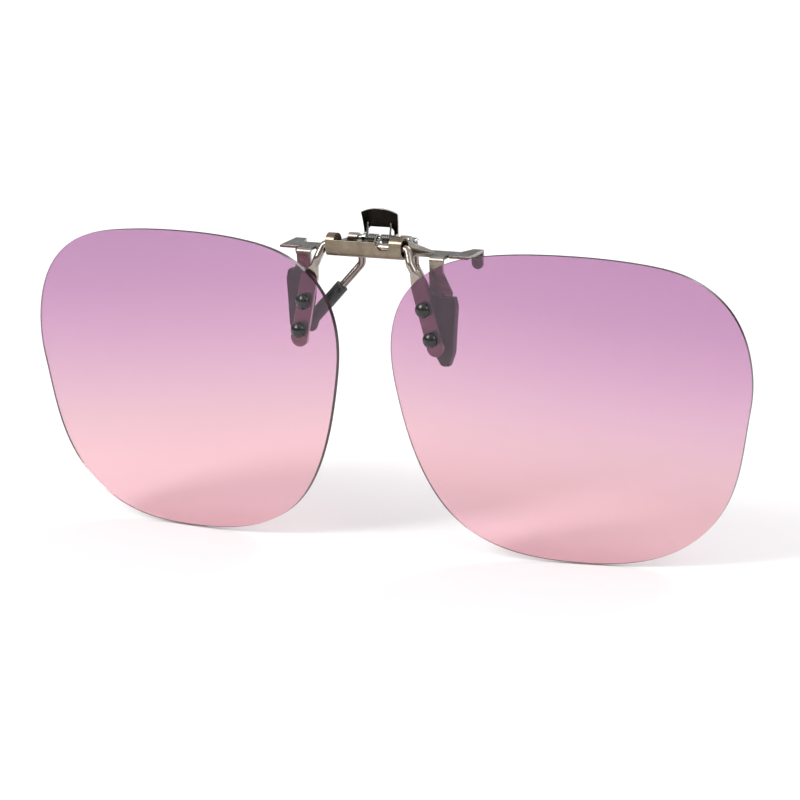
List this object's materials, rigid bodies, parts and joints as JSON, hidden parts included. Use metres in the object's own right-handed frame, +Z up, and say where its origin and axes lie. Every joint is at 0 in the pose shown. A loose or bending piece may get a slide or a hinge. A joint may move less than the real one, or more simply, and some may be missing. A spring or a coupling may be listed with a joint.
{
  "type": "clip on flip lenses",
  "caption": "Clip-on flip-up tinted sun lenses for spectacles: two gradient lenses on a hinged wire, with a sprung squeeze clip whose hooks grip the spectacle rims.",
  "frame": {"origin": "on the middle plane, where the rear faces of the front pads meet the level of the arms' undersides, which is the corner that the spectacle rims sit in", "axes": "+X towards the wearer's left, +Y back towards the wearer's face, +Z up"},
  "size_m": [0.131, 0.0113, 0.055],
  "materials": {
    "lens_tint": "clear tinted sheet, mauve at the top fading to pink below",
    "clear_bush": "clear",
    "hinge_wire": "polished nickel plating",
    "bracket_steel": "satin, slightly bronze",
    "base_steel": "satin gunmetal plating",
    "lever_gunmetal": "dark polished gunmetal",
    "hook_steel": "polished nickel plating",
    "axle_steel": "polished",
    "spring_steel": "bright drawn wire",
    "nut_steel": "satin",
    "black_screw": "glossy black",
    "pad_silicone": "matt dark grey silicone",
    "boot_silicone": "matt dark grey silicone"
  },
  "bodies": {
    "clip": {"base_plate": "base_steel", "hinge_bracket": "bracket_steel", "click_spring": "spring_steel", "front_pad_left": "pad_silicone", "front_pad_right": "pad_silicone", "lever_axle": "axle_steel", "lever_spring": "spring_steel"},
    "lens_carrier": {"hinge_wire": "hinge_wire", "lens_left": "lens_tint", "lens_right": "lens_tint", "lens_screws": "black_screw", "lens_bushes": "clear_bush", "lens_nuts": "nut_steel"},
    "squeeze_lever": {"lever": "lever_gunmetal", "hook_wire_left": "hook_steel", "hook_wire_right": "hook_steel", "rear_boot_left": "boot_silicone", "rear_boot_right": "boot_silicone"}
  },
  "joints": [
    {"name": "lens_flip", "type": "hinge", "parent": "clip", "child": "lens_carrier", "pos_m": [0, -0.00195, 0.0017], "axis": [-1, 0, 0], "range_deg": [0, 100]},
    {"name": "lever_squeeze", "type": "hinge", "parent": "clip", "child": "squeeze_lever", "pos_m": [0, 0.003, 0.0019], "axis": [1, 0, 0], "range_deg": [0, 25], "stiffness_Nm_per_rad": 0.03, "springref_deg": -28.65, "deforming": ["lever_spring"]}
  ]
}
